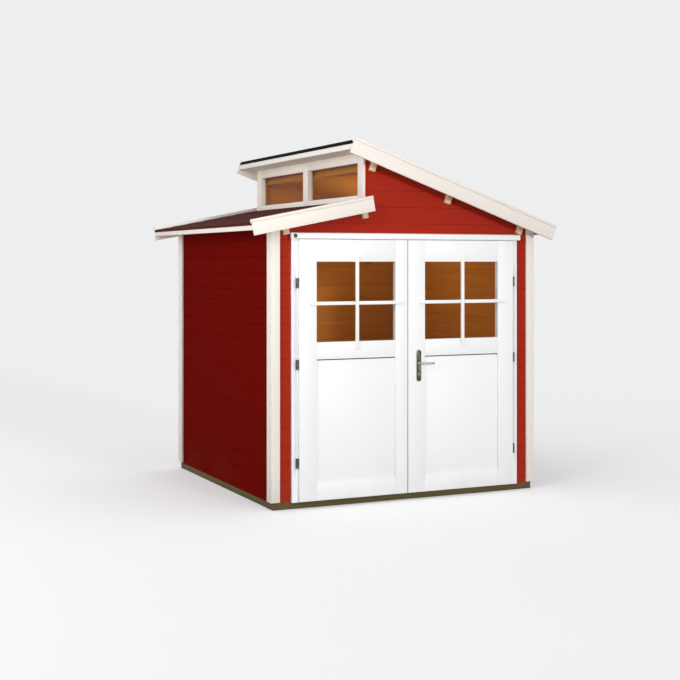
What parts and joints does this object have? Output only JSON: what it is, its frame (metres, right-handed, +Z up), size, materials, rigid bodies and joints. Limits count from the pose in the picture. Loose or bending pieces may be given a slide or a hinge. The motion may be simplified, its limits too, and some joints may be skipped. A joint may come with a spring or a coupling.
{
  "type": "garden shed",
  "caption": "Small wooden garden shed on bearers with a pair of half-glazed doors, and a stepped roof of two slopes with a glazed clerestory between them.",
  "frame": {"origin": "centre of the base, on the ground, under the middle joist", "axes": "+X to the right along the door front, +Y from the doors to the back, +Z up"},
  "size_m": [2.4093, 2.25, 2.5366],
  "materials": {
    "red_wood_paint": "red wood paint, satin",
    "cream_paint": "cream-white wood paint, satin",
    "white_door_paint": "white wood paint, satin",
    "bare_wood": "planed spruce",
    "treated_wood": "pressure-treated timber",
    "roofing_felt": "bitumen shingle, mineral grit",
    "window_glass": "clear glazing",
    "hinge_steel": "dark zinc-plated steel",
    "handle_metal": "satin nickel",
    "black_plastic": "black plastic cap"
  },
  "bodies": {
    "house": {"clerestory_heads": "cream_paint", "clerestory_panes": "window_glass", "clerestory_posts": "cream_paint", "clerestory_sills": "cream_paint", "door_head": "white_door_paint", "door_header": "white_door_paint", "door_jambs": "white_door_paint", "eave_fascias": "cream_paint", "end_bearers": "treated_wood", "floor": "bare_wood", "floor_joists": "treated_wood", "front_gable": "red_wood_paint", "front_wall_left": "red_wood_paint", "front_wall_right": "red_wood_paint", "gable_corner_boards": "cream_paint", "header_cap": "black_plastic", "high_barge_boards": "cream_paint", "high_fascia": "cream_paint", "high_purlins": "bare_wood", "high_roof_covering": "roofing_felt", "high_roof_deck": "bare_wood", "high_verge_caps": "cream_paint", "hinge_frame_halves": "hinge_steel", "left_wall": "red_wood_paint", "low_barge_boards": "cream_paint", "low_purlins": "bare_wood", "low_roof_covering": "roofing_felt", "low_roof_deck": "bare_wood", "low_verge_caps": "cream_paint", "rear_wall": "red_wood_paint", "right_wall": "red_wood_paint", "side_corner_boards": "cream_paint", "threshold": "bare_wood"},
    "left_door": {"left_door_glass": "window_glass", "left_door_panel": "white_door_paint", "left_door_rails": "white_door_paint", "left_door_stiles": "white_door_paint", "left_hinge_leaf_halves": "hinge_steel"},
    "right_door": {"handle_plates": "handle_metal", "right_door_glass": "window_glass", "right_door_panel": "white_door_paint", "right_door_rails": "white_door_paint", "right_door_stiles": "white_door_paint", "right_hinge_leaf_halves": "hinge_steel"},
    "lever": {"door_lever": "handle_metal"}
  },
  "joints": [
    {"name": "left_door_hinge", "type": "hinge", "parent": "house", "child": "left_door", "pos_m": [-0.862, -1.0275, 0.9], "axis": [0, 0, -1], "range_deg": [0, 170]},
    {"name": "right_door_hinge", "type": "hinge", "parent": "house", "child": "right_door", "pos_m": [0.862, -1.0275, 0.9], "axis": [0, 0, 1], "range_deg": [0, 170]},
    {"name": "lever_turn", "type": "hinge", "parent": "right_door", "child": "lever", "pos_m": [0.067, -1.035, 0.962], "axis": [0, 1, 0], "range_deg": [0, 40], "stiffness_Nm_per_rad": 1.5, "springref_deg": -20.05}
  ]
}
